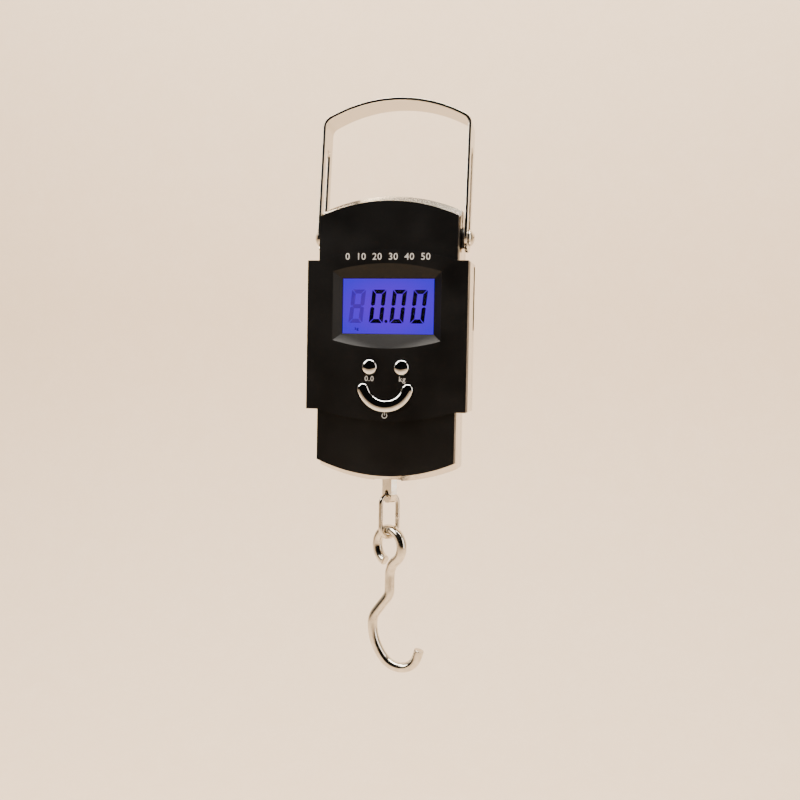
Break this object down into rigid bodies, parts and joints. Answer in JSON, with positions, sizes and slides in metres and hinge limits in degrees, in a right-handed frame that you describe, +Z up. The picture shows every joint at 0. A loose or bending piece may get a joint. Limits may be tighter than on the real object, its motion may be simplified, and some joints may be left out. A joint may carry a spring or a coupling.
{
  "type": "digital hanging scale",
  "caption": "Pocket hanging scale with a two-shell casing, lit display, smile-shaped button, slotted steel bail, link and wire hook.",
  "frame": {"origin": "under the middle of the bail's arch, where a hand or a peg holds the scale", "axes": "+Z up as the scale hangs, +X to the right as the display is read, -Y towards the reader"},
  "size_m": [0.067, 0.0279, 0.2397],
  "materials": {
    "polished_steel": "polished stainless steel strip and wire",
    "nickel_wire": "bright nickel plated wire",
    "black_abs": "black ABS with a fine spark texture",
    "plated_abs": "chrome plated ABS",
    "plated_button": "bright chrome plated ABS",
    "black_nylon": "black nylon",
    "zinc_steel": "zinc plated steel",
    "beam_aluminium": "milled aluminium",
    "gauge_resin": "soft white gauge coating",
    "clear_acrylic": "clear acrylic window",
    "display_glass": "glass display cell, lit blue",
    "light_guide": "white light guide",
    "black_rubber": "conductive rubber",
    "board_green": "green solder mask",
    "chip_resin": "moulded epoxy",
    "battery_sleeve": "film sleeve over a metal can",
    "spring_brass": "plated spring brass",
    "lead_white": "PVC insulation",
    "lead_red": "PVC insulation"
  },
  "bodies": {
    "bail": {"handle": "polished_steel"},
    "sliders": {"left_slide_bush": "black_nylon", "right_slide_bush": "black_nylon"},
    "casing": {"left_pivot_screw": "nickel_wire", "right_pivot_screw": "nickel_wire", "front_cover": "black_abs", "rear_shell": "plated_abs", "case_screws": "zinc_steel", "cross_bracket": "zinc_steel", "load_cell": "beam_aluminium", "strain_gauges": "gauge_resin", "load_cell_screws": "zinc_steel", "rod_yoke": "zinc_steel", "eye_rod": "nickel_wire", "lcd_window": "clear_acrylic", "lcd_panel": "display_glass", "lcd_backlight": "light_guide", "zebra_strip": "black_rubber", "main_board": "board_green", "board_screws": "zinc_steel", "controller_chip": "chip_resin", "tact_switches": "black_nylon", "left_battery": "battery_sleeve", "right_battery": "battery_sleeve", "battery_springs": "spring_brass", "battery_contacts": "spring_brass", "load_cell_lead": "lead_white", "battery_leads": "lead_red"},
    "link": {"link": "nickel_wire"},
    "hook": {"hook": "nickel_wire"},
    "zero_button": {"zero_button": "plated_button"},
    "unit_button": {"unit_button": "plated_button"},
    "power_button": {"power_button": "plated_button"},
    "battery_door": {"battery_door": "plated_abs"}
  },
  "joints": [
    {"name": "bail_slide", "type": "slide", "parent": "bail", "child": "sliders", "axis": [0, 0.1392, 0.9903], "range_m": [0, 0.034]},
    {"name": "bail_tilt", "type": "hinge", "parent": "sliders", "child": "casing", "pos_m": [0, -0.00792, -0.05635], "axis": [1, 0, 0], "range_deg": [-98, 82]},
    {"name": "link_swing", "type": "hinge", "parent": "casing", "child": "link", "pos_m": [0, -0.00792, -0.16265], "axis": [0.766, 0.6428, 0], "range_deg": [-70, 70]},
    {"name": "hook_swing", "type": "hinge", "parent": "link", "child": "hook", "pos_m": [0, -0.00792, -0.18085], "axis": [0.766, 0.6428, 0], "range_deg": [-30, 30]},
    {"name": "zero_press", "type": "slide", "parent": "casing", "child": "zero_button", "axis": [0, 1, 0], "range_m": [0, 0.0005], "stiffness_N_per_m": 400},
    {"name": "unit_press", "type": "slide", "parent": "casing", "child": "unit_button", "axis": [0, 1, 0], "range_m": [0, 0.0005], "stiffness_N_per_m": 400},
    {"name": "power_press", "type": "slide", "parent": "casing", "child": "power_button", "axis": [0, 1, 0], "range_m": [0, 0.0005], "stiffness_N_per_m": 400},
    {"name": "door_slide", "type": "slide", "parent": "casing", "child": "battery_door", "axis": [0, 0, -1], "range_m": [0, 0.006]}
  ]
}
